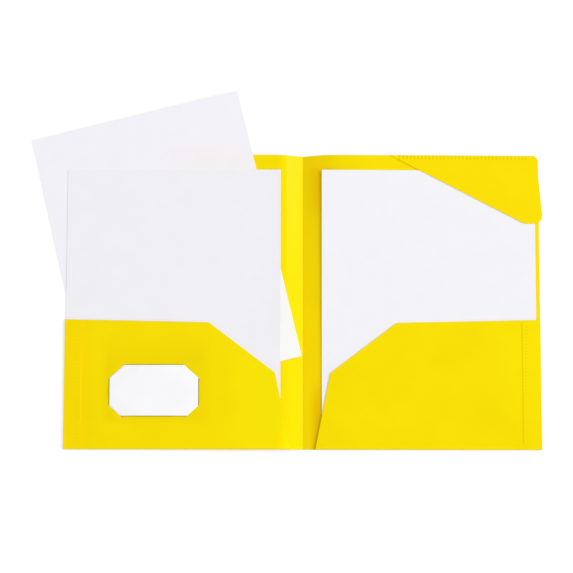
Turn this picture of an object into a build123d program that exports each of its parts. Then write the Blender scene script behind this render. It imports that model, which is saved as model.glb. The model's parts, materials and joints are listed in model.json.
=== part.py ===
from build123d import *

import os
from math import asin, atan2, cos, degrees, hypot, radians, sin

# A two pocket folder of folded plastic sheet, lying open and face up. It holds three letter sheets, a
# business card in four slits and a welded corner tab. The origin is on the table under the middle of the
# crease, +X is the right cover's side, +Y is the head and +Z is up. Lengths are in millimetres and angles
# in degrees.

# Sheet stock and fits
sheet_thickness = 0.5
paper_thickness = 0.1
card_thickness = 0.3
layer_gap = 0.15  # air between loose layers
card_gap = 0.1  # air between the card and the pocket's faces
hinge_gap = 0.04  # air beside the web of a crease
web_radius = 0.12  # half of the sheet that is left in a crease
overrun = 1.0  # how far a cut passes what it cuts

# Letter sheets, which set the folder's size
letter_width = 215.9
letter_height = 279.4
letter_foot_gap = 3.6  # from the bottom edge to the straight sheets
letter_head_gap = 15.5  # from the straight sheets to the head
letter_spine_gap = 10.6  # from the ridge to the left sheet
letter_outer_gap = 1.0  # from the left sheet to the outer edge
right_letter_shift = 3.4  # how much nearer to its ridge the right sheet lies
tilt_angle = 13.65
tilted_corner_gap = 0.8  # from the crease to the tilted sheet's nearest corner
tilted_exit_gap = 29.7  # from the pocket's mouth up to where the tilted sheet leaves the cover

# Covers and spine
spine_width = 12.8  # from the crease to the ridge
spine_rise_angle = 24.0
crease_thinning = 1.5  # how far from the crease the sheet is pressed thinner
crease_edge = 0.04  # the sheet's thickness at the pressed edge
cover_corner_radius = 6.0

# Pockets
pocket_height = 130.5  # at the outer edge
pocket_mouth_fall = 3.1  # how much lower the inner end of the top edge is
pocket_mouth_end = 82.7  # from the ridge to the inner end of the top edge
pocket_shoulder = 16.0  # from the ridge to the corner under the slanted edge
pocket_shoulder_drop = 53.8  # that corner's depth below the outer end of the top edge
pocket_foot = 1.0  # from the ridge to the inner end of the bottom fold
pocket_corner_radius = 5.5

# Side flaps, turned in behind the pockets, and the welds that hold them
flap_width = 17.0
flap_foot_lift = 3.0  # from the bottom edge to the outer end of the flap's foot
flap_foot_slant = 7.0  # how much higher the foot's inner end is
weld_mark_length = 5.0
weld_mark_width = 1.2
weld_mark_depth = 0.15
weld_mark_pitch = 3.6
weld_edge_gap = 1.5  # from the flap's inner edge to the marks
weld_end_margin = 6.0  # least run of plain pocket beyond the marks

# Corner tab
tab_height = 69.8
tab_tip = 76.5  # from the ridge to the pointed end
tab_head_inset = 2.6  # from the other end of the head to the cover's outer edge
tab_flare = 6.4  # how far the outer edge leans out, from head to foot
tab_foot_width = 19.4
tab_corner_radius = 3.0
tab_foot_radius = 8.0
tab_slant_radius = 12.0
tab_weld_depth = 4.35
tab_hinge_gap = 0.1
tab_mark_length = 3.5
tab_mark_width = 1.4
tab_mark_pitch = 3.85
tab_mark_margin = 10.0  # from either end of the head to the nearest mark

# Business card
card_width = 88.9
card_height = 50.8
card_outer_gap = 46.7  # from the outer edge to the card
card_lift = 33.55  # from the bottom edge to the card
card_tuck_width = 12.0
card_tuck_height = 10.5
slit_width = 0.9
slit_spare = 1.5  # slit beyond each side of the card

# Levels above a cover's underside
lower_paper_level = sheet_thickness + layer_gap
upper_paper_level = lower_paper_level + paper_thickness + layer_gap
flap_level = upper_paper_level + paper_thickness + layer_gap
pocket_level = flap_level + sheet_thickness
pocket_face = pocket_level + sheet_thickness
card_level = pocket_face + card_gap
tuck_level = pocket_level - card_gap - card_thickness
tab_level = lower_paper_level + paper_thickness + layer_gap
tab_weld_face = 2 * sheet_thickness
tab_hinge_level = (tab_level + sheet_thickness + tab_weld_face + layer_gap) / 2

# Outer radii of the folds, which take in all the layers between cover and flap or pocket
side_fold_radius = (flap_level + sheet_thickness) / 2
bottom_fold_radius = pocket_face / 2

# Section through the spine. The crease's thinned edges touch the table, and so do the covers' outer edges.
folder_height = letter_foot_gap + letter_height + letter_head_gap
cover_width = letter_spine_gap + letter_width + letter_outer_gap
half_height = folder_height / 2
half_sheet = sheet_thickness / 2
rise = radians(spine_rise_angle)
crease_level = max(web_radius, half_sheet * cos(rise) - crease_thinning * sin(rise))
ridge_offset = spine_width * cos(rise)
ridge_level = crease_level + spine_width * sin(rise)
cover_fall = asin(ridge_level / hypot(cover_width, half_sheet)) - atan2(half_sheet, cover_width)

bottom_edge = -half_height
pocket_top = bottom_edge + pocket_height
fold_line = bottom_edge + bottom_fold_radius
cover_start = web_radius + hinge_gap
flap_root = cover_width - side_fold_radius

card_x = -(cover_width - card_outer_gap - card_width / 2)
card_y = bottom_edge + card_lift + card_height / 2
tab_head_end = cover_width - tab_head_inset
tab_hinge_line = half_height - tab_weld_depth
tab_foot_line = half_height - tab_height

LEFT, RIGHT = -1, 1
SIDES = {"left": LEFT, "right": RIGHT}


def cover_plane(side, level=0):
    """The plane at a level above a cover's underside: x along +X and y along +Y, from the ridge."""
    normal = Vector(side * sin(cover_fall), 0, cos(cover_fall))
    ridge = Vector(side * ridge_offset, 0, ridge_level)
    along = (cos(cover_fall), 0, -side * sin(cover_fall))
    return Plane(origin=ridge - normal * half_sheet, x_dir=along, z_dir=normal).offset(level)


def section_plane(side, along_x, along_y, level, normal):
    """A plane square to a cover, with the cover's own up as its y."""
    flat = cover_plane(side, level)
    origin = flat.from_local_coords(Vector(side * along_x, along_y, 0))
    across = flat.y_dir if normal == "x" else flat.x_dir
    facing = flat.x_dir if normal == "x" else -flat.y_dir
    return Plane(origin=origin, x_dir=across, z_dir=facing)


def outline(side, points):
    """A closed outline, drawn for the right side and mirrored for the left."""
    Polygon(*[(side * x, y) for x, y in points], align=None)


def round_corner(sketch, side, point, radius):
    """Rounds the corner of a flat outline that is nearest to a point."""
    corner = sketch.vertices().sort_by_distance((side * point[0], point[1], 0))[0]
    fillet(corner, radius)


def half_ring(outer_radius, turn):
    """Half of a ring of the sheet's thickness. It bulges to +x where turn is 1, and to -x where it is -1."""
    reach = outer_radius + overrun
    Circle(outer_radius)
    Circle(outer_radius - sheet_thickness, mode=Mode.SUBTRACT)
    with Locations((-turn * reach / 2, 0)):
        Rectangle(reach, 2 * reach, mode=Mode.SUBTRACT)


def write(piece, name):
    """Labels a finished piece and writes its file."""
    piece.part.label = name
    export_step(piece.part, f"parts/{name}.step")


def mouth_level(along_x):
    """The height of a pocket's mouth at a distance from the ridge. It falls towards the spine."""
    inwards_share = (cover_width - along_x) / (cover_width - pocket_mouth_end)
    return pocket_top - pocket_mouth_fall * inwards_share


def make_cover(side):
    """A cover from its ridge outwards, cut back where the folds carry on from it."""
    flap_foot = bottom_edge + flap_foot_lift
    head_corner = (cover_width, half_height)
    points = [
        (cover_start, bottom_edge),
        (pocket_foot, bottom_edge),
        (pocket_foot, fold_line),
        (cover_width, fold_line),
        (cover_width, flap_foot),
        (flap_root, flap_foot),
        (flap_root, pocket_top),
        (cover_width, pocket_top),
        head_corner,
        (cover_start, half_height),
    ]
    with BuildPart() as cover:
        with BuildSketch(cover_plane(side)) as face:
            outline(side, points)
            round_corner(face, side, head_corner, cover_corner_radius)
        extrude(amount=sheet_thickness)
    return cover


def make_spine_panel(side):
    """A spine panel from the crease to the ridge. The right one carries the web of the crease."""
    points = [
        (cover_start, -crease_edge / 2),
        (crease_thinning, -half_sheet),
        (spine_width, -half_sheet),
        (spine_width, half_sheet),
        (crease_thinning, half_sheet),
        (cover_start, crease_edge / 2),
    ]
    section = Plane(
        origin=(0, side * half_height, crease_level),
        x_dir=(side * cos(rise), 0, sin(rise)),
        z_dir=(0, -side, 0),
    )
    with BuildPart() as panel:
        with BuildSketch(section):
            outline(RIGHT, points)
            with Locations((spine_width, 0)):
                Circle(web_radius)
            if side == RIGHT:
                Circle(web_radius)
                Rectangle(2 * cover_start, crease_edge)
        extrude(amount=folder_height)
    return panel


def make_bottom_fold(side):
    """The half ring that turns a cover's bottom edge up into its pocket."""
    with BuildPart() as fold:
        with BuildSketch(section_plane(side, pocket_foot, fold_line, bottom_fold_radius, "x")):
            half_ring(bottom_fold_radius, -1)
        extrude(amount=side * (cover_width - pocket_foot))
    return fold


def make_side_fold(side):
    """The half ring that turns a cover's outer edge in to its side flap."""
    foot = bottom_edge + flap_foot_lift
    with BuildPart() as fold:
        with BuildSketch(section_plane(side, flap_root, foot, side_fold_radius, "y")):
            half_ring(side_fold_radius, side)
        extrude(amount=foot - pocket_top)
    return fold


def make_side_flap(side):
    """The flap behind a pocket's outer edge, with its foot cut on the slant."""
    foot = bottom_edge + flap_foot_lift
    inner_edge = cover_width - flap_width
    points = [
        (flap_root, foot),
        (flap_root, mouth_level(flap_root)),
        (inner_edge, mouth_level(inner_edge)),
        (inner_edge, foot + flap_foot_slant),
    ]
    with BuildPart() as flap:
        with BuildSketch(cover_plane(side, flap_level)):
            outline(side, points)
        extrude(amount=sheet_thickness)
    return flap


def card_corners():
    """The card's corners on the left cover's plane: place, and which way is out of the card."""
    for out_x in (-1, 1):
        for out_y in (-1, 1):
            yield (card_x + out_x * card_width / 2, card_y + out_y * card_height / 2), out_x, out_y


def tucked_corners(grow, mode=Mode.ADD):
    """The card's corners as cut off by the slits, with each slit's line moved inwards by a distance."""
    depth = card_tuck_width * card_tuck_height / hypot(card_tuck_width, card_tuck_height)
    scale = (depth + grow) / depth
    for (x, y), out_x, out_y in card_corners():
        along = (x - out_x * card_tuck_width * scale, y)
        up = (x, y - out_y * card_tuck_height * scale)
        Polygon((x, y), along, up, align=None, mode=mode)


def make_pocket(side):
    """A pocket panel with the weld marks of its side flap. The left one has the card's slits."""
    mouth_end = (pocket_mouth_end, mouth_level(pocket_mouth_end))
    shoulder = (pocket_shoulder, pocket_top - pocket_shoulder_drop)
    points = [
        (pocket_foot, fold_line),
        (cover_width, fold_line),
        (cover_width, pocket_top),
        mouth_end,
        shoulder,
    ]
    mark_count = int((pocket_height - 2 * weld_end_margin) / weld_mark_pitch)
    mark_inset = flap_width - weld_edge_gap - weld_mark_length / 2
    marks_middle = (side * (cover_width - mark_inset), pocket_top - pocket_height / 2)
    slit_length = hypot(card_tuck_width, card_tuck_height) + 2 * slit_spare
    with BuildPart() as pocket:
        with BuildSketch(cover_plane(side, pocket_level)) as face:
            outline(side, points)
            round_corner(face, side, mouth_end, pocket_corner_radius)
            round_corner(face, side, shoulder, pocket_corner_radius)
        extrude(amount=sheet_thickness)
        with BuildSketch(cover_plane(side, pocket_face)):
            with Locations(marks_middle):
                with GridLocations(weld_mark_pitch, weld_mark_pitch, 1, mark_count):
                    Rectangle(weld_mark_length, weld_mark_width)
        extrude(amount=-weld_mark_depth, mode=Mode.SUBTRACT)
        if side == LEFT:
            with BuildSketch(cover_plane(side, pocket_face)):
                for (x, y), out_x, out_y in card_corners():
                    middle = (x - out_x * card_tuck_width / 2, y - out_y * card_tuck_height / 2)
                    angle = degrees(atan2(-out_x * out_y * card_tuck_height, card_tuck_width))
                    with Locations(middle):
                        Rectangle(slit_length, slit_width, rotation=angle)
            extrude(amount=-sheet_thickness, mode=Mode.SUBTRACT)
    return pocket


def make_card():
    """The business card. Its corners step down through the slits and lie behind the pocket."""
    half_card = card_thickness / 2
    with BuildPart() as card:
        with BuildSketch(cover_plane(LEFT, card_level)):
            with Locations((card_x, card_y)):
                Rectangle(card_width, card_height)
            tucked_corners(-half_card, Mode.SUBTRACT)
        extrude(amount=card_thickness)
        with BuildSketch(cover_plane(LEFT, tuck_level)):
            tucked_corners(half_card)
        extrude(amount=card_thickness)
        with BuildSketch(cover_plane(LEFT, tuck_level)):
            tucked_corners(half_card)
            tucked_corners(-half_card, Mode.SUBTRACT)
        extrude(amount=card_level + card_thickness - tuck_level)
    return card


def draw_tab(face):
    """The whole corner tab, from the head of the right cover down to its foot."""
    head_end = (tab_head_end, half_height)
    foot_end = (tab_head_end + tab_flare, tab_foot_line)
    foot_start = (foot_end[0] - tab_foot_width, tab_foot_line)
    outline(RIGHT, [(tab_tip, half_height), head_end, foot_end, foot_start])
    round_corner(face, RIGHT, head_end, tab_corner_radius)
    round_corner(face, RIGHT, foot_end, tab_foot_radius)
    round_corner(face, RIGHT, foot_start, tab_slant_radius)


def keep_between(low, high):
    """Keeps the part of a sketch on the right cover between two heights."""
    with Locations((cover_width / 2, (low + high) / 2)):
        Rectangle(2 * cover_width, high - low, mode=Mode.INTERSECT)


def make_tab_weld_strip():
    """The edge of the tab that is welded on the cover, with its row of weld marks."""
    head_length = tab_head_end - tab_tip
    mark_count = int((head_length - 2 * tab_mark_margin) / tab_mark_pitch) + 1
    marks_middle = (tab_tip + head_length / 2, half_height - tab_weld_depth / 2)
    with BuildPart() as strip:
        with BuildSketch(cover_plane(RIGHT, sheet_thickness)) as face:
            draw_tab(face)
            keep_between(tab_hinge_line, half_height)
        extrude(amount=sheet_thickness)
        with BuildSketch(cover_plane(RIGHT, tab_weld_face)):
            with Locations(marks_middle):
                with GridLocations(tab_mark_pitch, tab_mark_pitch, mark_count, 1):
                    Rectangle(tab_mark_width, tab_mark_length)
        extrude(amount=-weld_mark_depth, mode=Mode.SUBTRACT)
    return strip


def make_tab():
    """The free flap of the tab, which lies over the right sheet's corner and lifts at the weld.

    It turns on a round bead, placed so that the flap turned right over still lies clear of the weld strip.
    """
    slant_run = tab_head_end + tab_flare - tab_foot_width - tab_tip
    bead_start = tab_tip + slant_run * (tab_weld_depth + web_radius) / tab_height
    with BuildPart() as tab:
        with BuildSketch(cover_plane(RIGHT, tab_level)) as face:
            draw_tab(face)
            keep_between(tab_foot_line, tab_hinge_line - tab_hinge_gap)
        extrude(amount=sheet_thickness)
        with BuildSketch(section_plane(RIGHT, bead_start, tab_hinge_line, tab_hinge_level, "x")):
            Circle(web_radius)
        extrude(amount=tab_head_end - bead_start)
    return tab


def make_letter(side, level, inner_edge):
    """A letter sheet that stands straight in its pocket."""
    middle_x = side * (inner_edge + letter_width / 2)
    middle_y = bottom_edge + letter_foot_gap + letter_height / 2
    with BuildPart() as letter:
        with BuildSketch(cover_plane(side, level)):
            with Locations((middle_x, middle_y)):
                Rectangle(letter_width, letter_height)
        extrude(amount=paper_thickness)
    return letter


def make_tilted_letter():
    """The letter sheet that leans out of the left pocket, placed by its lower right corner.

    Its lower left corner lies inside the pocket, and its left edge leaves the cover above the pocket's mouth.
    """
    tilt = radians(tilt_angle)
    corner_x = ridge_offset - tilted_corner_gap
    edge_run = (corner_x - letter_width * cos(tilt) + cover_width) / sin(tilt)
    exit_y = pocket_top + tilted_exit_gap
    corner_y = exit_y - edge_run * cos(tilt) + letter_width * sin(tilt)
    with BuildPart() as letter:
        with BuildSketch(cover_plane(LEFT, lower_paper_level)):
            with Locations(Location((corner_x, corner_y), tilt_angle)):
                Rectangle(letter_width, letter_height, align=(Align.MAX, Align.MIN))
        extrude(amount=paper_thickness)
    return letter


os.makedirs("parts", exist_ok=True)
for side_name, side in SIDES.items():
    write(make_cover(side), f"{side_name}_cover")
    write(make_spine_panel(side), f"{side_name}_spine_panel")
    write(make_pocket(side), f"{side_name}_pocket")
    write(make_bottom_fold(side), f"{side_name}_pocket_bottom_fold")
    write(make_side_flap(side), f"{side_name}_side_flap")
    write(make_side_fold(side), f"{side_name}_side_fold")
write(make_tab_weld_strip(), "corner_tab_weld_strip")
write(make_tab(), "corner_tab")
write(make_letter(LEFT, upper_paper_level, letter_spine_gap), "left_sheet")
write(make_letter(RIGHT, lower_paper_level, letter_spine_gap - right_letter_shift), "right_sheet")
write(make_tilted_letter(), "tilted_sheet")
write(make_card(), "business_card")
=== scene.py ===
import json
from math import ceil, cos, exp, hypot, inf, pi, radians, sin, tan

import bmesh
import bpy
import numpy as np
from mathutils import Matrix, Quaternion, Vector
from mathutils.geometry import delaunay_2d_cdt


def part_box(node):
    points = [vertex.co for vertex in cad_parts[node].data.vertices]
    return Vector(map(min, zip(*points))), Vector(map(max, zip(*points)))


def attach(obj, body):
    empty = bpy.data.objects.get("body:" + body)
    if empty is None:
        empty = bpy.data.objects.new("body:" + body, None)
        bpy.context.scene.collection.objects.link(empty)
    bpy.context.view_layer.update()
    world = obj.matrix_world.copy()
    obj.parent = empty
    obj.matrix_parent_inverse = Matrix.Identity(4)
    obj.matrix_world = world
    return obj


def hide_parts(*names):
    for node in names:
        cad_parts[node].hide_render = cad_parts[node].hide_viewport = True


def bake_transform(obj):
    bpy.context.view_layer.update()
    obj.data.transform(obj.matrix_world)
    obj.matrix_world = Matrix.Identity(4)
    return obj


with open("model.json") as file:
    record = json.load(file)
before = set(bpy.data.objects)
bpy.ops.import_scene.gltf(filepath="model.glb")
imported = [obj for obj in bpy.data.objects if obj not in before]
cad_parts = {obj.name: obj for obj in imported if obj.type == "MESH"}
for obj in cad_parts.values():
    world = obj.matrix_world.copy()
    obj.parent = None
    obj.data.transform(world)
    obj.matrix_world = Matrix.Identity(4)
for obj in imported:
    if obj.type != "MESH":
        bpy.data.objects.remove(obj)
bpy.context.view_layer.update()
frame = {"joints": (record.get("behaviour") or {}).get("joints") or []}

# An open two pocket folder of plastic sheet, with three letter sheets, a business card and a corner tab.
# Lengths are in millimetres until place() turns a point into metres. A point on a half of the folder has u,
# its distance from the ridge, v, its place along the spine, and w, its height above the cover's underside.
MM = 0.001
LEFT, RIGHT = -1, 1
SIDES = {"left": LEFT, "right": RIGHT}
FACE, CUT_EDGE, WELD, CARD_SHADOW = range(4)  # places in a list of materials; the last is the groove painted dark as the card's shadow
UPPER = WELD  # the same place in the list of a piece that has no welds

# Sheet stock
sheet = 0.5
paper = 0.1
tab_stock = 0.34
card_stock = 0.3
half_sheet = sheet / 2
sheet_rim = 0.14  # how far the cut edges of the sheet are rounded in
paper_rim = 0.02

# Places read from the frame
joints = {joint["name"]: joint for joint in frame["joints"]}
ridge_offset, _, ridge_level = (c / MM for c in joints["right_flex"]["pos_m"])
crease_level = joints["spine_fold"]["pos_m"][2] / MM
half_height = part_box("right_cover")[1].y / MM
cover_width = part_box("right_side_fold")[1].x / MM - ridge_offset
bottom_edge = -half_height

# Levels above a cover's underside
lower_paper_level = 0.65
upper_paper_level = 0.9
flap_level = 1.15
pocket_level = 1.65
pocket_face = pocket_level + sheet
card_level = 2.25
tuck_level = 1.25
tab_level = 0.88

# Spine
ridge_shares = {LEFT: (1.0, 1.0), RIGHT: (0.3, 1.0)}  # how high each ridge stands, at its foot and its head
twist_ends = (-38.0, 140.0)  # the places along the spine between which it rises
arch_even = {LEFT: 12.0, RIGHT: 4.0}  # from the crease to where the cover's rise begins to level out
arch_end = {LEFT: 26.0, RIGHT: 43.0}  # and to where it has
score_depth = 0.14  # pressed in from both faces along the crease
score_width = 0.7
spine_split = -7.5  # where the cover's piece ends and the crease's begins
head_dip = 1.1  # how far the head's edge falls towards the crease
head_dip_width = 16.0
head_dip_height = 12.0
cover_corner_radius = 6.0
free_edge_inset = {LEFT: 1.2, RIGHT: 0.0}  # how far a cover's edge above its pocket is cut back

# Pockets
pocket_height = 130.5
pocket_top = bottom_edge + pocket_height
pocket_mouth_fall = 3.1
pocket_mouth_end = 82.7
pocket_shoulder = 16.0
pocket_shoulder_drop = 53.8
pocket_foot = 1.0
pocket_corner_radius = 5.5
bottom_fold_radius = pocket_face / 2
fold_line = bottom_edge + bottom_fold_radius
follow_height = 50.0  # over which a pocket leaves the valley's shape
pocket_sag = {LEFT: 0.0, RIGHT: 0.36}  # how far a pocket settles on its sheets, unless a card keeps it up
sag_height = 40.0
sag_width = 50.0

# Side flaps, and how they show through the pockets
flap_width = 17.0
flap_foot_gap = 3.0
flap_foot = bottom_edge + flap_foot_gap
flap_foot_slant = 7.0
side_fold_radius = (flap_level + sheet) / 2
flap_root = cover_width - side_fold_radius
seam_inset = {LEFT: 0.3, RIGHT: 1.7}  # from the flap's inner edge to where the pocket steps down
seam_step = {LEFT: 0.14, RIGHT: 0.34}
seam_width = 1.2
seam_foot_fade = 9.0  # height over which the step fades out above the bottom fold
weld_pitch = 3.6
weld_width = 1.5
weld_depth = 0.05
weld_length = {LEFT: 6.5, RIGHT: 2.6}
weld_gap = {LEFT: 1.2, RIGHT: 3.0}  # from the step to the marks
weld_end_margin = 7.0
mark_rim_share = 0.01  # a mark shows from this share of its depth on

# Corner tab
tab_height = 69.8
tab_tip = 76.5
tab_head_inset = 2.1
tab_head_end = cover_width - tab_head_inset
tab_flare = 6.4
tab_foot_width = 19.4
tab_corner_radius = 3.0
tab_foot_radius = 8.0
tab_slant_radius = 12.0
tab_weld_depth = 4.35
tab_hinge_line = half_height - tab_weld_depth
tab_bend = 0.35  # how far to each side of the hinge line the flap steps off the cover
tab_paper_step = 0.12  # how far the sheet under the flap lifts it
tab_paper_ease = 1.2  # how far to each side of the sheet's head it begins and ends to lift
tab_mark_pitch = 3.85
tab_mark_width = 1.9
tab_mark_length = 3.7
tab_mark_depth = 0.2
tab_mark_margin = 10.0

# Letter sheets and the card
letter_width = 215.9
letter_height = 279.4
letter_foot_gap = 3.6
letter_foot = bottom_edge + letter_foot_gap
left_letter_gap = 10.6
right_letter_gap = 7.5
tilt = radians(13.65)
tilted_low, tilted_high = (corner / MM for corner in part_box("tilted_sheet"))
tilted_corner = Vector((tilted_high.x, tilted_low.y + letter_width * sin(tilt)))
edge_curl = {LEFT: 0.4, RIGHT: 0.25}  # how far the inner edges of the straight sheets lift
curl_length = 16.0
free_length = 60.0  # over which those edges come free, above the pocket's shoulder
twist_room = {LEFT: 0.0, RIGHT: 0.11}  # how far a straight sheet stands off a ridge, to slide along its twist
letter_follow = {LEFT: 0.0, RIGHT: 1.0}  # how far a straight sheet follows its pocket into the valley
card_width = 88.9
card_height = 50.8
card_from_side = 45.9
card_from_foot = 33.55
card_u = cover_width - card_from_side - card_width / 2
card_v = bottom_edge + card_from_foot + card_height / 2
card_bow = 0.5
card_bow_reach = 14.0  # from a slit to where the card is fully bowed
card_bed = 0.42  # how far the card's straight edges press into the pocket's face
card_bed_width = 0.6
card_shadow_reach = 0.7  # how far from the card's edges the groove is painted dark, as the card's shadow
tuck_width = 12.7
tuck_height = 11.4
slits_drop = 1.5  # how far the middle of the four slits lies below the card's
slit_half_width = 0.45
slit_spare = 0.8  # how far a slit runs past the card's edges
slit_pass = (-0.4, 0.5)  # the card passes through a slit between these distances from its line
lip_lift = 0.3  # how far a tucked corner lifts the pocket
lip_spread = 4.2

# Meshes: spans of grid points as (low, high, step), and the steps of other grids. Beside a line, the fine
# grid ends at its reach, and the wide one begins at its start. Grid points keep a clear from the edges.
arch_span = (spine_split, 10.0, 0.7)  # a cover's grid, where it is arched, levels out and is flat
level_span = (11.0, 40.0, 2.0)
flat_span = (44.0, cover_width, 6.0)
roll_spans = [(pocket_foot, 40.0, 2.0), (46.0, cover_width, 6.0)]
roll_step = 6.0
rim_step = 4.0
sheet_step = 5.0
pocket_step = 4.0
fine_step = 2.0
crease_step = 1.0
panel_step = 0.6
score_step = 0.2
score_start = 1.8
seam_grid_step = 0.2
seam_reach = 0.8
seam_start = 2.0
pocket_foot_reach = 6.0
pocket_foot_start = 9.0
card_step = 1.0
card_margin = 6.0
card_edge_step = 0.35
card_edge_reach = 2.0
tab_step = 3.0
tab_ease_step = 0.4
tab_ease_reach = 1.8
tab_ease_start = 3.0
tab_bend_step = tab_bend / 3
edge_clear = 0.3
score_clear = 0.1
tab_clear = 0.12
letter_clear = 1.0
sharp_angle = 35  # edges sharper than this, in degrees, stay sharp
flat_angle = 3  # two triangles within these angles of flat and of square become one face
square_angle = 30
same_point = 1e-5
same_line = 1e-3
no_length = 1e-12


def smooth(low, high, value):
    """0 below low, 1 above high and an S-curve between them."""
    t = min(1.0, max(0.0, (value - low) / (high - low)))
    return t * t * (3 - 2 * t)


def rise(side, u, v):
    """How far the straight line of a cover stands above its outer edge."""
    share = np.interp(v, twist_ends, ridge_shares[side])
    return (ridge_level - half_sheet) * (1 - u / cover_width) * share


def valley(side, x, v):
    """How far the cover lies below its straight line, at a distance from the crease."""
    depth = half_sheet + rise(side, -ridge_offset, v) - crease_level
    even, end = arch_even[side], arch_end[side]
    t = min(1.0, max(0.0, (x - even) / (end - even)))
    run = min(x, even) + (end - even) * (t - t**3 + t**4 / 2)
    return depth * (1 - 2 * run / (even + end))


def place(side, u, v, w, follow=1.0):
    """A point in metres. A follow of 1 takes the whole shape of the spine's valley, and 0 none."""
    x = ridge_offset + u
    z = rise(side, u, v) + w - follow * valley(side, abs(x), v)
    near_head = smooth(half_height - head_dip_height, half_height, v)
    dip = follow * head_dip * near_head * exp(-((x / head_dip_width) ** 2))
    return Vector((side * x, v - dip, z)) * MM


def pocket_follow(v):
    """How much of the valley's shape a pocket takes, from the bottom fold up."""
    return 1 - smooth(fold_line, fold_line + follow_height, v)


def rounded(corners, arc_steps=8):
    """A closed outline through corners (u, v) or (u, v, radius), with the round ones as arcs."""
    points = []
    for i, (u, v, *radius) in enumerate(corners):
        here = Vector((u, v))
        if not radius:
            points.append(here)
            continue
        to_last = (Vector(corners[i - 1][:2]) - here).normalized()
        to_next = (Vector(corners[(i + 1) % len(corners)][:2]) - here).normalized()
        half_angle = to_last.angle(to_next) / 2
        centre = here + (to_last + to_next).normalized() * radius[0] / sin(half_angle)
        reach = radius[0] / tan(half_angle)
        start, end = here + to_last * reach - centre, here + to_next * reach - centre
        points += [centre + start.slerp(end, k / arc_steps) * radius[0] for k in range(arc_steps + 1)]
    return points


def divided(points, step, closed=True):
    """A line of points with no stretch longer than a step."""
    ends = points[1:] + points[:1] if closed else points[1:]
    out = []
    for a, b in zip(points, ends):
        count = max(1, ceil((b - a).length / step))
        out += [a.lerp(b, k / count) for k in range(count)]
    return out if closed else out + [points[-1]]


def spaced(low, high, step):
    """Evenly spaced numbers from low to high, about a step apart."""
    return list(np.linspace(low, high, max(2, ceil((high - low) / step) + 1)))


def graded(*spans):
    """Evenly spaced numbers in several spans, each (low, high, step)."""
    return [value for span in spans for value in spaced(*span)]


def inside(points, ring):
    """Which points lie inside a closed ring, by counting the edges to their right."""
    a = np.array(ring, float)
    b = np.roll(a, -1, axis=0)
    x, y = points[:, :1], points[:, 1:]
    crosses = (a[:, 1] > y) != (b[:, 1] > y)
    run = np.where(b[:, 1] == a[:, 1], 1.0, b[:, 1] - a[:, 1])
    return (crosses & (x < a[:, 0] + (y - a[:, 1]) * (b[:, 0] - a[:, 0]) / run)).sum(axis=1) % 2 == 1


def line_gap(points, line, closed=True):
    """Each point's distance from a line of points."""
    a = np.array(line, float)
    b = np.roll(a, -1, axis=0)
    if not closed:
        a, b = a[:-1], b[:-1]
    d = b - a
    from_a = points[:, None] - a
    t = np.clip((from_a * d).sum(-1) / np.maximum((d * d).sum(-1), no_length), 0, 1)
    return np.linalg.norm(from_a - t[..., None] * d, axis=-1).min(axis=1)


def filled(outline, us, vs, lines=(), holes=(), clear=edge_clear):
    """Flat points and triangles that fill an outline on a grid, with lines as edges and holes left open."""
    points, edges = [], []
    rings = [(ring, True) for ring in (outline, *holes)]
    for line, closed in rings + [(line, False) for line in lines]:
        first = len(points)
        points += [Vector(p) for p in line]
        edges += [(i, i + 1) for i in range(first, len(points) - 1)]
        if closed:
            edges.append((len(points) - 1, first))
    grid = np.array([(u, v) for u in us for v in vs])
    grid = grid[inside(grid, outline) & (line_gap(grid, outline) > clear)]
    for hole in holes:
        grid = grid[~inside(grid, hole) & (line_gap(grid, hole) > clear)]
    for line in lines:
        grid = grid[line_gap(grid, line, False) > clear]
    points += [Vector(p) for p in grid]
    found = delaunay_2d_cdt(points, edges, [], 0, same_point)
    flat = np.array([tuple(p) for p in found[0]])
    faces = np.array(found[2])
    centres = flat[faces].mean(axis=1)
    keep = inside(centres, outline)
    for hole in holes:
        keep &= ~inside(centres, hole)
    return flat, faces[keep], centres[keep]


def free_rim(flat, faces, joined):
    """The rim's edges, and which way is out at each of its points, but for edges along joined lines."""
    edges = {(int(a), int(b)) for f in faces for a, b in zip(f, np.roll(f, -1))}
    rim = [e for e in sorted(edges) if (e[1], e[0]) not in edges]
    outwards = {i: np.zeros(2) for e in rim for i in e}
    middles = np.array([(flat[a] + flat[b]) / 2 for a, b in rim])
    meets = np.zeros(len(rim), bool)
    for line in joined:
        meets |= line_gap(middles, line, False) < same_line
    for (a, b), met in zip(rim, meets):
        if met:
            continue
        along = (flat[b] - flat[a]) / np.linalg.norm(flat[b] - flat[a])
        for i in (a, b):
            outwards[i] += (along[1], -along[0])
    for i, out in outwards.items():
        outwards[i] = out / max(1.0, np.linalg.norm(out))
    return rim, outwards


def new_piece(name, bm, materials):
    """A finished piece from a bmesh, smooth but for its edges."""
    bmesh.ops.recalc_face_normals(bm, faces=bm.faces)
    mesh = bpy.data.meshes.new(name)
    bm.to_mesh(mesh)
    bm.free()
    mesh.shade_smooth()
    mesh.set_sharp_from_angle(angle=radians(sharp_angle))
    for material in materials:
        mesh.materials.append(material)
    piece = bpy.data.objects.new(name, mesh)
    bpy.context.scene.collection.objects.link(piece)
    return piece


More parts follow.
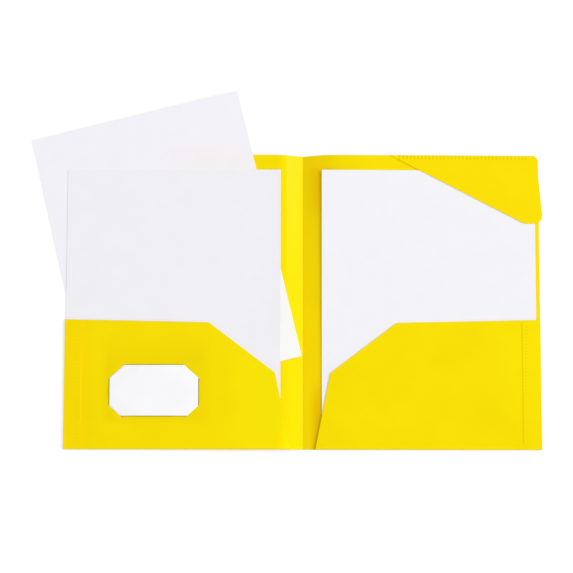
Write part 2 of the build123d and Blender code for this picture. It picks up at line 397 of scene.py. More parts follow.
def sheet_piece(name, filling, surface, materials, joined=(), rim_inset=sheet_rim, finish=None):
    """A thin closed solid. surface(u, v) gives its lower and upper points, and its cut rim is rounded.

    finish(u, v) says which of the materials an upper face has: FACE, UPPER, WELD, or the one painted as the
    card's shadow.
    """
    flat, faces, centres = filling
    rim, outwards = free_rim(flat, faces, joined)
    bm = bmesh.new()
    lower, upper, middle = [], [], {}
    for i, (u, v) in enumerate(flat):
        inset = outwards.get(i, np.zeros(2)) * rim_inset
        low, high = surface(u - inset[0], v - inset[1])
        lower.append(bm.verts.new(low))
        upper.append(bm.verts.new(high))
        if i in outwards:
            low, high = surface(u, v)
            middle[i] = bm.verts.new((low + high) / 2)
    for corners, (u, v) in zip(faces, centres):
        bm.faces.new([lower[i] for i in corners])
        bm.faces.new([upper[i] for i in corners]).material_index = finish(u, v) if finish else FACE
    for a, b in rim:
        for layer in (upper, lower):
            bm.faces.new([layer[a], layer[b], middle[b], middle[a]]).material_index = CUT_EDGE
    bmesh.ops.recalc_face_normals(bm, faces=bm.faces)
    bmesh.ops.join_triangles(
        bm,
        faces=bm.faces,
        cmp_materials=True,
        angle_face_threshold=radians(flat_angle),
        angle_shape_threshold=radians(square_angle),
    )
    return new_piece(name, bm, materials)


def swept_piece(name, sections, materials):
    """A closed solid through sections, each a pair of equal lines of points: its outside and its inside."""
    bm = bmesh.new()
    rows = [[[bm.verts.new(p) for p in line] for line in section] for section in sections]
    for (outer, inner), (next_outer, next_inner) in zip(rows, rows[1:]):
        ring, next_ring = outer + inner[::-1], next_outer + next_inner[::-1]
        for k in range(len(ring)):
            j = (k + 1) % len(ring)
            bm.faces.new([ring[k], ring[j], next_ring[j], next_ring[k]])
    for outer, inner in (rows[0], rows[-1]):
        for k in range(len(outer) - 1):
            bm.faces.new([outer[k], outer[k + 1], inner[k + 1], inner[k]]).material_index = CUT_EDGE
    return new_piece(name, bm, materials)


# Finishes
yellow = (0.978, 0.758, 0.0005)
# painted shade: the same yellow, a little darker, for the right pocket
right_pocket_shaded_yellow = (0.972, 0.755, 0.0005)
cut_yellow = (0.88, 0.64, 0.0005)
weld_yellow = (0.945, 0.725, 0.0005)
tab_weld_yellow = (0.87, 0.66, 0.0005)
# painted shadow: a dark yellow for the groove beside the card's straight edges
card_shadow_yellow = (0.47, 0.37, 0.003)
letter_white = (0.912, 0.902, 0.946)
tilted_white = (0.938, 0.925, 0.982)
card_white = (0.985, 0.985, 1.0)
face_dark_share = 0.97  # how dark the darker blotches are
cut_dark_share = 0.92
card_shadow_dark_share = 0.9
paper_dark_share = 0.985
blotch_ends = (0.3, 0.7)  # the noise of the darkest and of the lightest blotches
face_roughness = (0.17, 0.22)
cut_roughness = (0.4, 0.55)
paper_roughness = (0.75, 0.95)
poly_gloss = 0.04
letter_gloss = 0.05
card_gloss = 0.08
blotch_size = 45.0
peel_size = 3.2
grain_size = 0.45
cloud_size = 18.0
letter_fibre_size = 0.9
card_fibre_size = 0.6
fibre_stretch = (1, 0.35, 1)
tooth_share = 0.4  # of the size of the fibres
peel_bump = (0.25, 0.05)  # strength and depth
grain_bump = (0.3, 0.02)
fibre_bump = (0.2, 0.03)
tooth_bump = (0.2, 0.015)
MIX_FROM, MIX_TONE, MIX_RESULT = 6, 7, 2  # a Mix node's colour sockets, which share their names with others


def new_material(name):
    """A material with its node tree, its shader and the object's own coordinates."""
    material = bpy.data.materials.new(name)
    material.use_nodes = True
    nodes = material.node_tree.nodes
    shader = nodes["Principled BSDF"]
    coordinates = nodes.new("ShaderNodeTexCoord").outputs["Object"]
    return material, nodes, material.node_tree.links, shader, coordinates


def noise(nodes, links, coordinates, size, detail, stretch=(1, 1, 1)):
    """Noise whose blotches are about a size across."""
    mapping = nodes.new("ShaderNodeMapping")
    mapping.inputs["Scale"].default_value = stretch
    links.new(coordinates, mapping.inputs["Vector"])
    texture = nodes.new("ShaderNodeTexNoise")
    texture.inputs["Scale"].default_value = 1 / (size * MM)
    texture.inputs["Detail"].default_value = detail
    links.new(mapping.outputs["Vector"], texture.inputs["Vector"])
    return texture.outputs["Fac"]


def ramp(nodes, links, value, ends, colours):
    """A colour that goes from one to another as a value goes from end to end."""
    node = nodes.new("ShaderNodeValToRGB")
    for element, position, colour in zip(node.color_ramp.elements, ends, colours):
        element.position = position
        element.color = (*colour, 1)
    links.new(value, node.inputs["Fac"])
    return node.outputs["Color"]


def spread(nodes, links, value, low, high):
    """A value from 0 to 1, turned into one from low to high."""
    node = nodes.new("ShaderNodeMapRange")
    node.inputs["To Min"].default_value = low
    node.inputs["To Max"].default_value = high
    links.new(value, node.inputs["Value"])
    return node.outputs["Result"]


def bumped(nodes, links, shader, layers):
    """Bump from several (height, strength, depth) layers, one on top of the other."""
    last = None
    for height, strength, depth in layers:
        bump = nodes.new("ShaderNodeBump")
        bump.inputs["Strength"].default_value = strength
        bump.inputs["Distance"].default_value = depth * MM
        links.new(height, bump.inputs["Height"])
        if last:
            links.new(last, bump.inputs["Normal"])
        last = bump.outputs["Normal"]
    links.new(last, shader.inputs["Normal"])


def step_along(nodes, links, coordinates, axis, low, high):
    """0 up to one place along an axis, 1 from another on, and an S-curve between them."""
    split = nodes.new("ShaderNodeSeparateXYZ")
    links.new(coordinates, split.inputs["Vector"])
    node = nodes.new("ShaderNodeMapRange")
    node.interpolation_type = "SMOOTHSTEP"
    node.inputs["From Min"].default_value = low * MM
    node.inputs["From Max"].default_value = high * MM
    links.new(split.outputs[axis], node.inputs["Value"])
    return node.outputs["Result"]


def toned(nodes, links, coordinates, colour, tone, steps):
    """A colour that is multiplied by a tone, where all the steps along the axes say 1."""
    share = None
    for axis, low, high in steps:
        mask = step_along(nodes, links, coordinates, axis, low, high)
        if share:
            product = nodes.new("ShaderNodeMath")
            product.operation = "MULTIPLY"
            links.new(share, product.inputs[0])
            links.new(mask, product.inputs[1])
            mask = product.outputs[0]
        share = mask
    node = nodes.new("ShaderNodeMix")
    node.data_type = "RGBA"
    node.blend_type = "MULTIPLY"
    links.new(share, node.inputs["Factor"])
    links.new(colour, node.inputs[MIX_FROM])
    node.inputs[MIX_TONE].default_value = (*tone, 1)
    return node.outputs[MIX_RESULT]


def blotched(nodes, links, coordinates, blotches, colour, dark_share, tones):
    """A colour with darker blotches and with tones."""
    dark = tuple(c * dark_share for c in colour)
    tint = ramp(nodes, links, blotches, blotch_ends, (dark, colour))
    for tone, steps in tones:
        tint = toned(nodes, links, coordinates, tint, tone, steps)
    return tint


def poly_material(name, colour, tones=(), dark_share=face_dark_share, roughness=face_roughness):
    """Yellow plastic sheet: a sand-blasted grain, a slight orange peel, faint blotches of tone and any tones
    given, most of which are painted light and shade.
    """
    material, nodes, links, shader, coordinates = new_material(name)
    blotches = noise(nodes, links, coordinates, blotch_size, detail=4)
    tint = blotched(nodes, links, coordinates, blotches, colour, dark_share, tones)
    links.new(tint, shader.inputs["Base Color"])
    grain = noise(nodes, links, coordinates, grain_size, detail=2)
    peel = noise(nodes, links, coordinates, peel_size, detail=2)
    links.new(spread(nodes, links, peel, *roughness), shader.inputs["Roughness"])
    shader.inputs["Specular IOR Level"].default_value = poly_gloss
    bumped(nodes, links, shader, [(peel, *peel_bump), (grain, *grain_bump)])
    return material


def paper_material(name, colour, fibre_size, gloss, tones=()):
    """Paper: short fibres, cloudy formation, a slightly uneven tone and any tones given, which are painted
    light.
    """
    material, nodes, links, shader, coordinates = new_material(name)
    clouds = noise(nodes, links, coordinates, cloud_size, detail=5)
    tint = blotched(nodes, links, coordinates, clouds, colour, paper_dark_share, tones)
    links.new(tint, shader.inputs["Base Color"])
    fibres = noise(nodes, links, coordinates, fibre_size, detail=4, stretch=fibre_stretch)
    tooth = noise(nodes, links, coordinates, fibre_size * tooth_share, detail=2)
    links.new(spread(nodes, links, fibres, *paper_roughness), shader.inputs["Roughness"])
    shader.inputs["Specular IOR Level"].default_value = gloss
    bumped(nodes, links, shader, [(fibres, *fibre_bump), (tooth, *tooth_bump)])
    return material


# A tone multiplies the colour. Its steps lead into it, each along an axis from one place to another. Most of
# these tones are painted light and shade, as each one's comment says.
# painted shade: deeper yellow right of the crease, where the cover rises away from the light
painted_shade_right_of_crease = ((1.0, 0.95, 1.0), [("X", 0.0, 2.0), ("X", 38.0, 22.0)])
# painted shadow: the right sheet's shadow on the spine, towards the head
painted_sheet_shadow_near_head = (
    (1.0, 0.87, 1.0),
    [("X", 3.0, 13.0), ("X", 60.0, 30.0), ("Y", 80.0, 105.0), ("Y", 140.0, 131.0)],
)
# painted shadow: the right pocket's shadow on the spine, towards the foot
painted_pocket_shadow_near_foot = ((0.9, 0.78, 1.0), [("X", 5.0, 15.0), ("X", 60.0, 30.0), ("Y", -72.0, -104.0)])
# painted shade: the right cover's head strip a little darker beside the crease
painted_shade_on_head_strip = ((0.95, 0.96, 1.0), [("X", 14.0, 26.0), ("X", 80.0, 45.0), ("Y", 126.0, 136.0)])
# painted light: the left pocket lighter towards its inner edge
painted_light_near_pocket_inner_edge = ((1.02, 1.07, 1.0), [("X", -112.0, -35.0)])
pocket_outer_tone = ((1.0, 0.965, 1.0), [("X", -206.0, -216.0)])
# painted shade: the left pocket darker round the card
painted_shade_around_card = (
    (0.95, 0.94, 1.0),
    [("X", -205.0, -193.0), ("X", -90.0, -104.0), ("Y", -127.0, -116.0), ("Y", -30.0, -64.0)],
)
# painted light: the right pocket lighter towards its outer edge, fading out towards its foot
painted_light_on_right_pocket = ((1.02, 1.045, 1.0), [("X", 175.0, 215.0), ("Y", -132.0, -70.0)])
# painted light: the yellow of the cover beneath showing warm through the sheet, near the head
painted_show_through_over_cover = (
    (1.013, 0.982, 0.938),
    [("X", -145.0, -110.0), ("Y", 168.0, 138.0), ("Y", 105.0, 132.0)],
)
# painted light: the sheet lighter and warmer where it lies over the spine
painted_light_over_spine = ((1.061, 1.068, 0.975), [("X", -60.0, -30.0), ("Y", 70.0, 35.0)])

poly = poly_material("poly_sheet", yellow)
# the upper faces of the covers and crease carry the painted shade and shadows beside the crease
poly_spine_painted_shade = poly_material("poly_spine_painted_shade", yellow, [painted_shade_right_of_crease, painted_shade_on_head_strip, painted_sheet_shadow_near_head, painted_pocket_shadow_near_foot])
# the left pocket carries painted light towards its inner edge and painted shade round the card
left_pocket_painted_poly = poly_material(
    "poly_left_pocket_painted_light_and_shade", yellow, [painted_light_near_pocket_inner_edge, pocket_outer_tone, painted_shade_around_card]
)
# the right pocket carries painted shade in its colour and painted light towards its outer edge
right_pocket_painted_poly = poly_material("poly_right_pocket_painted_light_and_shade", right_pocket_shaded_yellow, [painted_light_on_right_pocket])
poly_edge = poly_material("poly_cut_edge", cut_yellow, dark_share=cut_dark_share, roughness=cut_roughness)
poly_weld = poly_material("poly_weld", weld_yellow)
tab_weld = poly_material("tab_weld", tab_weld_yellow)
# the groove beside the card's straight edges is painted dark, as the card's shadow
card_shadow_poly = poly_material("painted_card_shadow", card_shadow_yellow, dark_share=card_shadow_dark_share, roughness=cut_roughness)
letter_paper = paper_material("letter_paper", letter_white, letter_fibre_size, letter_gloss)
# the tilted sheet's paper carries the painted show-through of the cover and painted light over the spine
paper_with_painted_light = paper_material(
    "paper_with_painted_light", tilted_white, letter_fibre_size, letter_gloss, [painted_show_through_over_cover, painted_light_over_spine]
)
card_board = paper_material("card_board", card_white, card_fibre_size, card_gloss)
POLY = [poly, poly_edge]
POCKET_POLY = {
    LEFT: [left_pocket_painted_poly, poly_edge, poly_weld, card_shadow_poly],
    RIGHT: [right_pocket_painted_poly, poly_edge, poly_weld],
}
SPINE_POLY = [poly, poly_edge, poly_spine_painted_shade]
TAB_POLY = [poly, poly_edge, tab_weld]
PAPER = [letter_paper, letter_paper, letter_paper]
PAPER_WITH_PAINTED_LIGHT = [letter_paper, letter_paper, paper_with_painted_light]
CARD = [card_board, card_board]


def make_cover(name, side):
    """A cover, from the middle of its spine panel to its outer edge, with its arch out of the valley."""
    free_edge = cover_width - free_edge_inset[side]
    corners = [
        (spine_split, bottom_edge),
        (pocket_foot, bottom_edge),
        (pocket_foot, fold_line),
        (cover_width, fold_line),
        (cover_width, flap_foot),
        (flap_root, flap_foot),
        (flap_root, pocket_top),
        (free_edge, pocket_top),
        (free_edge, half_height, cover_corner_radius),
        (spine_split, half_height),
    ]
    joined = [
        [(spine_split, bottom_edge), (spine_split, half_height)],
        [(pocket_foot, fold_line), (cover_width, fold_line)],
        [(flap_root, flap_foot), (flap_root, pocket_top)],
    ]
    us = graded(arch_span, level_span, flat_span)
    filling = filled(divided(rounded(corners), rim_step), us, spaced(bottom_edge, half_height, sheet_step))
    piece = sheet_piece(
        name,
        filling,
        lambda u, v: (place(side, u, v, 0), place(side, u, v, sheet)),
        SPINE_POLY,
        joined,
        finish=lambda u, v: UPPER,
    )
    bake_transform(piece)
    return piece


def make_crease():
    """The crease and the inner half of each spine panel, with the score that the sheet folds along."""
    reach = ridge_offset + spine_split
    corners = [(-reach, bottom_edge), (reach, bottom_edge), (reach, half_height), (-reach, half_height)]
    joined = [[(-reach, bottom_edge), (-reach, half_height)], [(reach, bottom_edge), (reach, half_height)]]

    def surface(x, v):
        side = RIGHT if x >= 0 else LEFT
        pressed = score_depth * exp(-((x / score_width) ** 2))
        u = abs(x) - ridge_offset
        return place(side, u, v, pressed), place(side, u, v, sheet - pressed)

    bend = 2 * score_width
    us = graded(
        (-reach, -score_start, panel_step),
        (-bend, bend, score_step),
        (score_start, reach, panel_step),
    )
    outline = divided([Vector(c) for c in corners], crease_step)
    filling = filled(outline, us, spaced(bottom_edge, half_height, sheet_step), clear=score_clear)
    piece = sheet_piece("spine_crease", filling, surface, SPINE_POLY, joined, finish=lambda u, v: UPPER)
    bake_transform(piece)
    return piece


def half_turn(radius, steps=12):
    """Points (across, up) of a half circle that bulges outwards, from its foot to its top."""
    return [
        (radius * cos(a), radius * sin(a))
        for a in (pi * (k / steps - 0.5) for k in range(steps + 1))
    ]


def make_bottom_roll(name, side):
    """The round bottom edge, where the cover's sheet turns up into the pocket."""
    sections = []
    for u in graded(*roll_spans):
        sections.append([
            [place(side, u, fold_line - out, bottom_fold_radius + up) for out, up in half_turn(radius)]
            for radius in (bottom_fold_radius, bottom_fold_radius - sheet)
        ])
    return swept_piece(name, sections, POLY)


def make_side_roll(name, side):
    """The round outer edge, where the cover's sheet turns in to the side flap."""
    sections = []
    for v in spaced(flap_foot, pocket_top, roll_step):
        sections.append([
            [place(side, flap_root + out, v, side_fold_radius + up) for out, up in half_turn(radius)]
            for radius in (side_fold_radius, side_fold_radius - sheet)
        ])
    return swept_piece(name, sections, POLY)


def mouth_level(u):
    """The height of a pocket's mouth, which falls towards the spine."""
    return pocket_top - pocket_mouth_fall * (cover_width - u) / (cover_width - pocket_mouth_end)


def make_side_flap(name, side):
    """The flap behind the pocket's outer edge."""
    inner = cover_width - flap_width
    corners = [
        (flap_root, flap_foot),
        (flap_root, mouth_level(flap_root)),
        (inner, mouth_level(inner)),
        (inner, flap_foot + flap_foot_slant),
    ]
    joined = [[(flap_root, flap_foot), (flap_root, pocket_top)]]
    us = spaced(inner, flap_root, pocket_step)
    vs = spaced(flap_foot, pocket_top, sheet_step)
    filling = filled(divided(rounded(corners), rim_step), us, vs)
    return sheet_piece(
        name,
        filling,
        lambda u, v: (place(side, u, v, flap_level), place(side, u, v, flap_level + sheet)),
        POLY,
        joined,
    )


def slit_corners():
    """The corners that the four slits are cut around, and which way is out of the card at each."""
    for out_u in (-1, 1):
        for out_v in (-1, 1):
            v = card_v - slits_drop + out_v * card_height / 2
            yield card_u + out_u * card_width / 2, v, out_u, out_v


def slit_gap(u, v, corner):
    """A point's distance from one slit's line, positive towards the middle of the card."""
    corner_u, corner_v, out_u, out_v = corner
    share = (corner_u - u) * out_u / tuck_width + (corner_v - v) * out_v / tuck_height
    return (share - 1) / hypot(1 / tuck_width, 1 / tuck_height)


def slit_outline(corner):
    """The four corners of one slit."""
    corner_u, corner_v, out_u, out_v = corner
    a = Vector((corner_u - out_u * tuck_width, corner_v))
    b = Vector((corner_u, corner_v - out_v * tuck_height))
    along = (b - a).normalized()
    across = Vector((out_u / tuck_width, out_v / tuck_height)).normalized()
    a, b = a - along * slit_spare, b + along * slit_spare
    return [a, b, b - across * 2 * slit_half_width, a - across * 2 * slit_half_width]


def tuck_gap(u, v, corner):
    """A point's distance from the middle of one tucked corner, which is a triangle."""
    corner_u, corner_v, out_u, out_v = corner
    return hypot(u - (corner_u - out_u * tuck_width / 3), v - (corner_v - out_v * tuck_height / 3))


def straight_gap(u, v):
    """A point's distance from the card's edges, where they lie on the pocket between the slits."""
    if min(slit_gap(u, v, corner) for corner in slit_corners()) < 0:
        return inf
    return abs(max(abs(u - card_u) - card_width / 2, abs(v - card_v) - card_height / 2))


def card_grid(middle, half):
    """Places along one side of the card, close together at its edges."""
    low, high = middle - half, middle + half
    return graded(
        (low - card_margin, high + card_margin, fine_step),
        (low - card_edge_reach, low + card_edge_reach, card_edge_step),
        (high - card_edge_reach, high + card_edge_reach, card_edge_step),
    )


class WeldMarks:
    """A row of pressed marks: V-shaped grooves, each a length along one axis and a width along the other."""

    def __init__(self, middles, half_u, half_v, depth):
        self.middles, self.half_u, self.half_v, self.depth = middles, half_u, half_v, depth

    def lines(self):
        """The edges that the grooves need: each one's rim, and the line along its bottom."""
        for u, v in self.middles:
            a, b = self.half_u, self.half_v
            turns = ((-1, -1), (1, -1), (1, 1), (-1, 1), (-1, -1))
            yield [Vector((u + i * a, v + j * b)) for i, j in turns]
            if a > b:
                yield [Vector((u - a + b, v)), Vector((u + a - b, v))]
            else:
                yield [Vector((u, v - b + a)), Vector((u, v + b - a))]

    def share(self, u, v):
        """How deep a point lies in a groove: 0 outside, and 1 at its bottom."""
        reach = min(self.half_u, self.half_v)
        best = 0.0
        for mid_u, mid_v in self.middles:
            inwards = min(self.half_u - abs(u - mid_u), self.half_v - abs(v - mid_v))
            best = max(best, min(1.0, inwards / reach))
        return best

    def drop(self, u, v):
        """How far a point lies below the face."""
        return self.depth * self.share(u, v)

    def finish(self, u, v):
        """A mark's own material."""
        return WELD if self.share(u, v) > mark_rim_share else FACE


def make_pocket(name, side):
    """A pocket: stepped down inside the side flap, welded along it, and settled on its sheets."""
    mouth_end = (pocket_mouth_end, mouth_level(pocket_mouth_end), pocket_corner_radius)
    shoulder = (pocket_shoulder, pocket_top - pocket_shoulder_drop, pocket_corner_radius)
    corners = [
        (pocket_foot, fold_line),
        (cover_width, fold_line),
        (cover_width, pocket_top),
        mouth_end,
        shoulder,
    ]
    seam = cover_width - flap_width - seam_inset[side]
    mark_u = seam + weld_gap[side] + weld_length[side] / 2
    mark_vs = spaced(fold_line + weld_end_margin, pocket_top - weld_end_margin, weld_pitch)
    marks = WeldMarks([(mark_u, v) for v in mark_vs], weld_length[side] / 2, weld_width / 2, weld_depth)
    slits = list(slit_corners()) if side == LEFT else []

    def surface(u, v):
        above_fold = smooth(fold_line, fold_line + seam_foot_fade, v)
        stepped = seam_step[side] * above_fold * (1 - smooth(seam - seam_width / 2, seam + seam_width / 2, u))
        settled = smooth(fold_line, fold_line + sag_height, v) * (1 - smooth(seam - sag_width, seam, u))
        w = pocket_level - stepped - pocket_sag[side] * settled
        pressed = marks.drop(u, v)
        if slits:
            pressed += card_bed * exp(-((straight_gap(u, v) / card_bed_width) ** 2))
        for corner in slits:
            if slit_gap(u, v, corner) < 0:
                w += lip_lift * exp(-((tuck_gap(u, v, corner) / lip_spread) ** 2) / 2)
        follow = pocket_follow(v)
        return place(side, u, v, w, follow), place(side, u, v, w + sheet - pressed, follow)

    # faces close to the card's straight edges take the painted shadow
    def finish(u, v):
        return CARD_SHADOW if slits and straight_gap(u, v) < card_shadow_reach else marks.finish(u, v)

    us = graded(
        (pocket_foot, seam - seam_start, pocket_step),
        (seam - seam_reach, seam + seam_reach, seam_grid_step),
        (seam + seam_start, cover_width, pocket_step),
    )
    vs = graded(
        (fold_line, fold_line + pocket_foot_reach, fine_step),
        (fold_line + pocket_foot_start, pocket_top, pocket_step),
    )
    if slits:
        us += card_grid(card_u, card_width / 2)
        vs += card_grid(card_v, card_height / 2)
    holes = [divided(slit_outline(corner), fine_step) for corner in slits]
    filling = filled(divided(rounded(corners), rim_step), us, vs, list(marks.lines()), holes)
    joined = [[(pocket_foot, fold_line), (cover_width, fold_line)]]
    return sheet_piece(name, filling, surface, POCKET_POLY[side], joined, finish=finish)


def make_tab():
    """The corner tab: its welded edge, the step off the cover and the flap over the right sheet's corner."""
    foot_line = half_height - tab_height
    foot_end = tab_head_end + tab_flare
    corners = [
        (tab_tip, half_height),
        (foot_end - tab_foot_width, foot_line, tab_slant_radius),
        (foot_end, foot_line, tab_foot_radius),
        (tab_head_end, half_height, tab_corner_radius),
    ]
    mark_us = spaced(tab_tip + tab_mark_margin, tab_head_end - tab_mark_margin, tab_mark_pitch)
    mark_v = half_height - tab_weld_depth / 2
    marks = WeldMarks([(u, mark_v) for u in mark_us], tab_mark_width / 2, tab_mark_length / 2, tab_mark_depth)
    letter_head = letter_foot + letter_height

    def surface(u, v):
        risen = 1 - smooth(tab_hinge_line - tab_bend, tab_hinge_line + tab_bend, v)
        on_paper = 1 - smooth(letter_head - tab_paper_ease, letter_head + tab_paper_ease, v)
        w = sheet + (tab_level - tab_paper_step / 2 - sheet) * risen + tab_paper_step * on_paper
        return place(RIGHT, u, v, w), place(RIGHT, u, v, w + tab_stock - marks.drop(u, v))

    def row(v):
        """A line across the tab, just short of its edges."""
        share = (half_height - v) / tab_height
        left = tab_tip + share * (foot_end - tab_foot_width - tab_tip)
        right = tab_head_end + share * tab_flare
        return divided([Vector((left + tab_bend, v)), Vector((right - tab_bend, v))], tab_step, closed=False)

    us = spaced(tab_tip, foot_end, tab_step)
    vs = graded(
        (foot_line, letter_head - tab_ease_start, pocket_step),
        (letter_head - tab_ease_reach, letter_head + tab_ease_reach, tab_ease_step),
        (letter_head + tab_ease_start, tab_hinge_line - 2 * tab_bend, fine_step),
        (tab_hinge_line - tab_bend, tab_hinge_line + tab_bend, tab_bend_step),
    )
    lines = [*marks.lines(), row(tab_hinge_line - tab_bend)]
    filling = filled(divided(rounded(corners), tab_bend), us, vs, lines, clear=tab_clear)
    piece = sheet_piece("corner_tab_sheet", filling, surface, TAB_POLY, finish=marks.finish)
    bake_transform(piece)
    return piece


def letter_piece(name, side, corners, level, curl, follow=0.0, materials=PAPER):
    """A letter sheet on one half of the folder. A curl lifts it, and the table holds up what hangs out."""
    corner_us, corner_vs = zip(*corners)

    def surface(u, v):
        w = max(level + curl(u, v), -rise(side, u, v))
        share = follow * pocket_follow(v)
        return place(side, u, v, w, share), place(side, u, v, w + paper, share)

    outline = divided([Vector(c) for c in corners], sheet_step)
    us = spaced(min(corner_us), max(corner_us), sheet_step)
    vs = spaced(min(corner_vs), max(corner_vs), sheet_step)
    filling = filled(outline, us, vs, clear=letter_clear)
    return sheet_piece(name, filling, surface, materials, rim_inset=paper_rim, finish=lambda u, v: UPPER)


def make_straight_letter(name, side, gap, level):
    """A sheet that stands straight in its pocket, with an inner edge that lifts above the shoulder."""
    shoulder = pocket_top - pocket_shoulder_drop
    head = letter_foot + letter_height

    def curl(u, v):
        free_share = smooth(shoulder, shoulder + free_length, v)
        lifted = edge_curl[side] * free_share * exp(-(u - gap) / curl_length)
        return lifted + twist_room[side] * (1 - u / cover_width)

    outer = gap + letter_width
    corners = [(gap, letter_foot), (outer, letter_foot), (outer, head), (gap, head)]
    return letter_piece(name, side, corners, level, curl, letter_follow[side])


def make_tilted_letter():
    """The sheet that leans out of the left pocket, over the folder's head and outer edge."""
    along = Vector((-cos(tilt), -sin(tilt)))
    up = Vector((-sin(tilt), cos(tilt)))
    plan = [tilted_corner, tilted_corner + along * letter_width]
    plan += [p + up * letter_height for p in reversed(plan)]
    corners = [(-p.x - ridge_offset, p.y) for p in plan]
    return letter_piece(
        "tilted_letter", LEFT, corners, lower_paper_level, curl=lambda u, v: 0.0, materials=PAPER_WITH_PAINTED_LIGHT
    )


def make_card():
    """The business card: bowed up between the slits that its corners pass through."""

    def surface(u, v):
        gap = min(slit_gap(u, v, corner) for corner in slit_corners())
        bowed = card_level + card_bow * smooth(0, card_bow_reach, gap)
        w = tuck_level + (bowed - tuck_level) * smooth(*slit_pass, gap)
        return place(LEFT, u, v, w), place(LEFT, u, v, w + card_stock)

    left, right = card_u - card_width / 2, card_u + card_width / 2
    low, high = card_v - card_height / 2, card_v + card_height / 2
    corners = [(left, low), (right, low), (right, high), (left, high)]
    outline = divided([Vector(c) for c in corners], card_step)
    filling = filled(outline, spaced(left, right, card_step), spaced(low, high, card_step))
    return sheet_piece("card", filling, surface, CARD, rim_inset=paper_rim)


def show(piece, slot, *nodes, body=None):
    """Puts a piece in the place of CAD nodes, which it hides, and, unless it bends, in their body. The slot
    is not used.
    """
    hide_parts(*nodes)
    if body:
        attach(piece, body)


# Both halves, then what lies across them or in them
for side_name, side in SIDES.items():
    body = f"{side_name}_half"
    show(make_cover(f"{side_name}_cover_sheet", side), "poly_sheet", f"{side_name}_cover")
    show(make_pocket(f"{side_name}_pocket_panel", side), "poly_sheet", f"{side_name}_pocket", body=body)
    bottom_roll = make_bottom_roll(f"{side_name}_bottom_roll", side)
    show(bottom_roll, "poly_sheet", f"{side_name}_pocket_bottom_fold", body=body)
    show(make_side_roll(f"{side_name}_side_roll", side), "poly_sheet", f"{side_name}_side_fold", body=body)
    show(make_side_flap(f"{side_name}_flap_sheet", side), "poly_sheet", f"{side_name}_side_flap", body=body)
show(make_crease(), "poly_sheet", "left_spine_panel", "right_spine_panel")
show(make_tab(), "poly_sheet", "corner_tab", "corner_tab_weld_strip")
left_letter = make_straight_letter("left_letter", LEFT, left_letter_gap, upper_paper_level)
show(left_letter, "paper", "left_sheet", body="left_sheet")
right_letter = make_straight_letter("right_letter", RIGHT, right_letter_gap, lower_paper_level)
show(right_letter, "paper", "right_sheet", body="right_sheet")
show(make_tilted_letter(), "paper", "tilted_sheet", body="tilted_sheet")
show(make_card(), "card", "business_card", body="left_half")

# Stage, light and camera, in metres and watts
floor_size = 12.0
floor_level = -0.05 * MM  # just clear of what lies on it
floor_colour = (0.48, 0.48, 0.48, 1)
floor_roughness = 0.9
floor_gloss = 0.1
floor_glow = 0.6  # what the pale floor lacks to white, where a camera or a mirror sees it
white = (1, 1, 1, 1)
background_strength = 1.0
world_strength = 0.57
key_power = 3320.0
key_size = 15.0
key_place = Vector((17.25, 1.5, 10.0))
sheen_power = 6.5
sheen_size = 0.35
sheen_place = Vector((1.36, 0.78, 2.74))
camera_aim = Vector((-0.01627, 0.0151, 0))
camera_elevation = radians(82.79)
camera_roll = radians(0.095)
camera_distance = 2.0
camera_lens = 124.56


def seen_directly(nodes, links):
    """1 for rays that a camera, a mirror or clear glass sends, and 0 for those that carry light."""
    rays = nodes.new("ShaderNodeLightPath")
    seen = rays.outputs["Is Camera Ray"]
    for kind in ("Is Glossy Ray", "Is Transmission Ray"):
        either = nodes.new("ShaderNodeMath")
        either.operation = "MAXIMUM"
        links.new(seen, either.inputs[0])
        links.new(rays.outputs[kind], either.inputs[1])
        seen = either.outputs[0]
    return seen


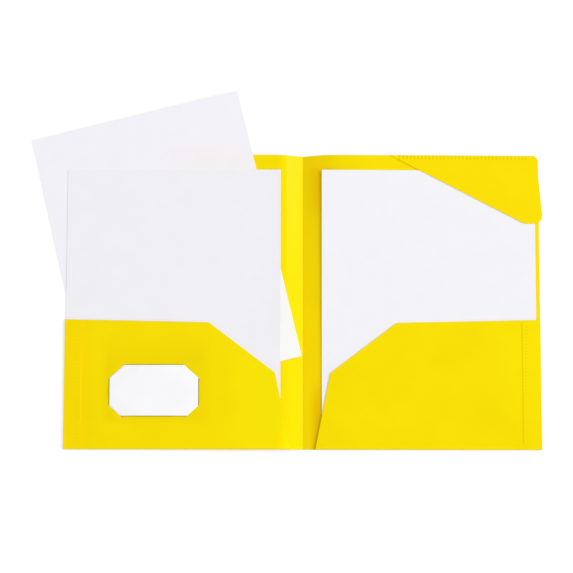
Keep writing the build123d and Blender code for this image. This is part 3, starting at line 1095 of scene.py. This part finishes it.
def make_floor():
    """A plain pale floor that keeps the object's shadow."""
    half = floor_size / 2
    mesh = bpy.data.meshes.new("floor")
    corners = [(x * half, y * half, floor_level) for x, y in ((-1, -1), (1, -1), (1, 1), (-1, 1))]
    mesh.from_pydata(corners, [], [range(len(corners))])
    material = bpy.data.materials.new("floor")
    material.use_nodes = True
    nodes, links = material.node_tree.nodes, material.node_tree.links
    shader = nodes["Principled BSDF"]
    shader.inputs["Base Color"].default_value = floor_colour
    shader.inputs["Roughness"].default_value = floor_roughness
    shader.inputs["Specular IOR Level"].default_value = floor_gloss
    shader.inputs["Emission Color"].default_value = white
    glow = nodes.new("ShaderNodeMath")
    glow.operation = "MULTIPLY"
    glow.inputs[1].default_value = floor_glow
    links.new(seen_directly(nodes, links), glow.inputs[0])
    links.new(glow.outputs[0], shader.inputs["Emission Strength"])
    mesh.materials.append(material)
    floor = bpy.data.objects.new("floor", mesh)
    bpy.context.scene.collection.objects.link(floor)


def make_world():
    """Even light from all round, on a white background."""
    world = bpy.data.worlds.new("studio")
    world.use_nodes = True
    nodes, links = world.node_tree.nodes, world.node_tree.links
    background = nodes["Background"]
    background.inputs["Color"].default_value = white
    strength = nodes.new("ShaderNodeMapRange")
    strength.inputs["To Min"].default_value = world_strength
    strength.inputs["To Max"].default_value = background_strength
    links.new(seen_directly(nodes, links), strength.inputs["Value"])
    links.new(strength.outputs["Result"], background.inputs["Strength"])
    bpy.context.scene.world = world


def make_light(name, location, size, power):
    """A square soft light that faces the object."""
    light = bpy.data.lights.new(name, "AREA")
    light.shape = "SQUARE"
    light.size = size
    light.energy = power
    lamp = bpy.data.objects.new(name, light)
    lamp.location = location
    lamp.rotation_euler = (-location).to_track_quat("-Z", "Y").to_euler()
    bpy.context.scene.collection.objects.link(lamp)


def make_camera():
    """The photograph's view: nearly straight down, from the foot's side."""
    camera = bpy.data.cameras.new("camera")
    camera.lens = camera_lens
    back = Vector((0, -cos(camera_elevation), sin(camera_elevation)))
    eye = bpy.data.objects.new("camera", camera)
    eye.location = camera_aim + back * camera_distance
    turn = (-back).to_track_quat("-Z", "Y") @ Quaternion((0, 0, 1), camera_roll)
    eye.rotation_euler = turn.to_euler()
    bpy.context.scene.collection.objects.link(eye)
    bpy.context.scene.camera = eye


make_floor()
make_world()
make_light("key", key_place, key_size, key_power)
make_light("sheen", sheen_place, sheen_size, sheen_power)
make_camera()
bpy.context.scene.view_settings.view_transform = "Standard"
